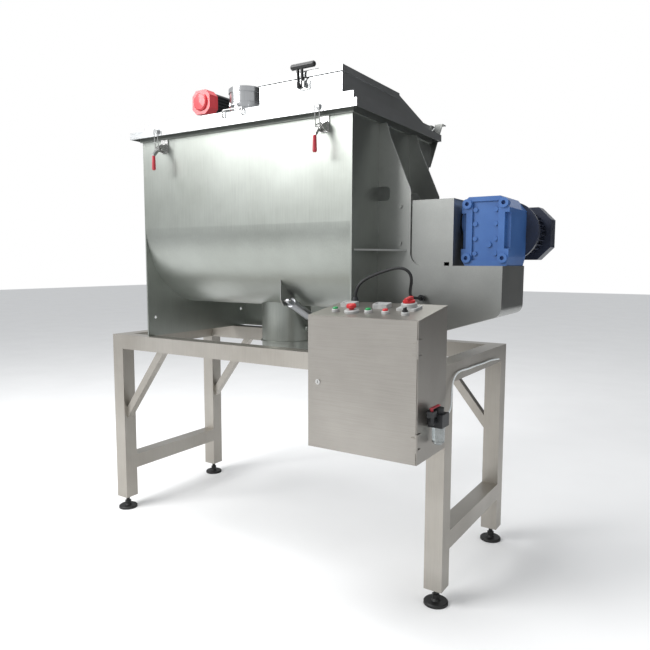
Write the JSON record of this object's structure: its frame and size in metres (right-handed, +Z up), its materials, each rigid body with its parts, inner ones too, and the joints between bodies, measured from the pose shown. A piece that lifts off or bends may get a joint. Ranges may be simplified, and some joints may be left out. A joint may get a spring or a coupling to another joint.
{
  "type": "ribbon blender",
  "caption": "Horizontal trough ribbon blender on a square-tube frame, with hinged lid, feed hood, geared side drive, pneumatic discharge valve and control box.",
  "frame": {"origin": "middle of the base of the whole machine, on the floor", "axes": "+X along the agitator shaft towards the drive, +Y from the control box to the motor's fan end, +Z up"},
  "size_m": [2.23, 1.246, 2.34],
  "materials": {
    "frame_steel": "brushed square tube",
    "trough_steel": "satin sheet with a vertical grain",
    "lid_steel": "satin folded sheet",
    "plate_steel": "satin laser-cut plate",
    "box_steel": "brushed sheet with a level grain",
    "agitator_steel": "polished welded bar",
    "vent_steel": "polished spun tube",
    "wire_steel": "bright drawn wire and pressed plate",
    "bearing_iron": "painted casting",
    "seal_rubber": "moulded white silicone",
    "foot_dark": "dark turned steel with a rubber sole",
    "gear_blue": "blue enamel on a ribbed casting",
    "motor_navy": "dark blue enamel on a finned casting",
    "shaker_black": "black enamel",
    "shaker_red": "red enamel",
    "grip_red": "dipped red vinyl",
    "grip_black": "moulded black",
    "button_green": "moulded green",
    "button_red": "moulded red",
    "console_trim": "moulded collars and meters",
    "knob_black": "moulded black",
    "lock_chrome": "plated",
    "cable_black": "extruded black sheath",
    "bowl_clear": "clear moulded bowl",
    "tube_white": "extruded pale tube",
    "cylinder_alloy": "anodised tube"
  },
  "bodies": {
    "machine": {"frame_legs": "frame_steel", "frame_top_rails": "frame_steel", "frame_ties": "frame_steel", "trough_shell": "trough_steel", "end_plates": "trough_steel", "trough_rim": "trough_steel", "lid_seal": "seal_rubber", "rear_skirt": "trough_steel", "discharge_spout": "trough_steel", "cylinder_bracket": "plate_steel", "shaft_bearings": "bearing_iron", "lid_hinge_brackets": "plate_steel", "clamp_bases": "wire_steel", "drive_cheeks": "plate_steel", "drive_tray": "plate_steel", "cheek_stiffeners": "plate_steel", "coupling_guard": "plate_steel", "gearbox_housing": "gear_blue", "motor_body": "motor_navy", "motor_fan_cowl": "motor_navy", "control_box": "box_steel", "console_bezels": "console_trim", "supply_cable": "cable_black", "cable_glands": "knob_black", "air_regulator": "knob_black", "air_bowl": "bowl_clear", "air_tube": "tube_white"},
    "foot_front_left": {"foot_front_left": "foot_dark"},
    "foot_front_right": {"foot_front_right": "foot_dark"},
    "foot_back_left": {"foot_back_left": "foot_dark"},
    "foot_back_right": {"foot_back_right": "foot_dark"},
    "lid": {"lid_sheet": "lid_steel", "lid_handle": "wire_steel", "feed_hood": "lid_steel", "vent_sleeve": "vent_steel", "shaker_motor": "shaker_black", "shaker_cap": "shaker_red"},
    "feed_cover": {"feed_cover": "lid_steel"},
    "feed_latch": {"feed_latch_grip": "grip_black"},
    "clamp_lever_left": {"clamp_lever_left": "wire_steel", "clamp_grip_left": "grip_red"},
    "clamp_lever_right": {"clamp_lever_right": "wire_steel", "clamp_grip_right": "grip_red"},
    "clamp_bail_left": {"clamp_bail_left": "wire_steel"},
    "clamp_bail_right": {"clamp_bail_right": "wire_steel"},
    "agitator": {"agitator_shaft": "agitator_steel", "outer_ribbon": "agitator_steel", "inner_ribbon": "agitator_steel"},
    "discharge_valve": {"discharge_valve": "trough_steel"},
    "cylinder_barrel": {"cylinder_barrel": "cylinder_alloy"},
    "cylinder_rod": {"cylinder_rod": "wire_steel"},
    "box_door": {"box_door": "box_steel"},
    "door_lock": {"door_lock": "lock_chrome"},
    "green_button_left": {"green_button_left": "button_green"},
    "green_button_right": {"green_button_right": "button_green"},
    "red_button": {"red_button": "button_red"},
    "emergency_stop": {"emergency_stop": "button_red"},
    "selector_knob": {"selector_knob": "knob_black"},
    "isolator_knob": {"isolator_knob": "button_red"},
    "air_shutoff_lever": {"air_shutoff_lever": "grip_red"}
  },
  "joints": [
    {"name": "lid_hinge", "type": "hinge", "parent": "machine", "child": "lid", "pos_m": [-0.1905, 0.598, 2.165], "axis": [-1, 0, 0], "range_deg": [0, 80]},
    {"name": "feed_cover_hinge", "type": "hinge", "parent": "lid", "child": "feed_cover", "pos_m": [0.1765, 0.255, 2.299], "axis": [-1, 0, 0], "range_deg": [0, 100]},
    {"name": "feed_latch_pivot", "type": "hinge", "parent": "lid", "child": "feed_latch", "pos_m": [0.197, -0.315, 2.23], "axis": [1, 0, 0], "range_deg": [0, 100]},
    {"name": "clamp_left_lever", "type": "hinge", "parent": "machine", "child": "clamp_lever_left", "pos_m": [-0.673, -0.351, 2.032], "axis": [-1, 0, 0], "range_deg": [0, 95]},
    {"name": "clamp_left_bail", "type": "hinge", "parent": "clamp_lever_left", "child": "clamp_bail_left", "pos_m": [-0.673, -0.365, 2.018], "axis": [-1, 0, 0], "range_deg": [-95, 0]},
    {"name": "clamp_right_lever", "type": "hinge", "parent": "machine", "child": "clamp_lever_right", "pos_m": [0.322, -0.351, 2.032], "axis": [-1, 0, 0], "range_deg": [0, 95]},
    {"name": "clamp_right_bail", "type": "hinge", "parent": "clamp_lever_right", "child": "clamp_bail_right", "pos_m": [0.322, -0.365, 2.018], "axis": [-1, 0, 0], "range_deg": [-95, 0]},
    {"name": "agitator_spin", "type": "hinge", "parent": "machine", "child": "agitator", "pos_m": [-0.1905, 0.1045, 1.622], "axis": [1, 0, 0], "continuous": true},
    {"name": "valve_turn", "type": "hinge", "parent": "machine", "child": "discharge_valve", "pos_m": [-0.191, 0.1045, 1.085], "axis": [-1, 0, 0], "range_deg": [0, 90]},
    {"name": "cylinder_swing", "type": "hinge", "parent": "machine", "child": "cylinder_barrel", "pos_m": [0.033, -0.187, 1.253], "axis": [1, 0, 0], "range_deg": [0, 7.3]},
    {"name": "cylinder_stroke", "type": "slide", "parent": "cylinder_barrel", "child": "cylinder_rod", "axis": [0, 0.9008, -0.4343], "range_m": [0, 0.0986]},
    {"name": "door_hinge", "type": "hinge", "parent": "machine", "child": "box_door", "pos_m": [0.921, -0.618, 0.96], "axis": [0, 0, 1], "range_deg": [0, 110]},
    {"name": "door_lock_turn", "type": "hinge", "parent": "box_door", "child": "door_lock", "pos_m": [0.487, -0.615, 0.965], "axis": [0, -1, 0], "range_deg": [0, 90]},
    {"name": "green_button_left_press", "type": "slide", "parent": "machine", "child": "green_button_left", "axis": [0, 0.1475, -0.9891], "range_m": [0, 0.0025], "stiffness_N_per_m": 400},
    {"name": "green_button_right_press", "type": "slide", "parent": "machine", "child": "green_button_right", "axis": [0, 0.1475, -0.9891], "range_m": [0, 0.0025], "stiffness_N_per_m": 400},
    {"name": "red_button_press", "type": "slide", "parent": "machine", "child": "red_button", "axis": [0, 0.1475, -0.9891], "range_m": [0, 0.0025], "stiffness_N_per_m": 400},
    {"name": "emergency_stop_press", "type": "slide", "parent": "machine", "child": "emergency_stop", "axis": [0, 0.1475, -0.9891], "range_m": [0, 0.005]},
    {"name": "selector_turn", "type": "hinge", "parent": "machine", "child": "selector_knob", "pos_m": [0.828, -0.532, 1.24393], "axis": [0, -0.1475, 0.9891], "range_deg": [-45, 45]},
    {"name": "isolator_turn", "type": "hinge", "parent": "machine", "child": "isolator_knob", "pos_m": [0.8, -0.435, 1.25839], "axis": [0, -0.1475, 0.9891], "range_deg": [0, 90]},
    {"name": "air_shutoff_turn", "type": "hinge", "parent": "machine", "child": "air_shutoff_lever", "pos_m": [0.953, -0.556, 0.9], "axis": [0, 0, -1], "range_deg": [0, 90]},
    {"name": "foot_front_left_screw", "type": "slide", "parent": "machine", "child": "foot_front_left", "axis": [0, 0, -1], "range_m": [0, 0.025]},
    {"name": "foot_front_right_screw", "type": "slide", "parent": "machine", "child": "foot_front_right", "axis": [0, 0, -1], "range_m": [0, 0.025]},
    {"name": "foot_back_left_screw", "type": "slide", "parent": "machine", "child": "foot_back_left", "axis": [0, 0, -1], "range_m": [0, 0.025]},
    {"name": "foot_back_right_screw", "type": "slide", "parent": "machine", "child": "foot_back_right", "axis": [0, 0, -1], "range_m": [0, 0.025]}
  ],
  "couplings": [
    {"joint": "clamp_left_bail", "follows": "clamp_left_lever", "ratio": -1},
    {"joint": "clamp_right_bail", "follows": "clamp_right_lever", "ratio": -1},
    {"joint": "cylinder_swing", "follows": "valve_turn", "ratio": 0.08},
    {"joint": "cylinder_stroke", "follows": "valve_turn", "m_per_rad": 0.0626}
  ]
}
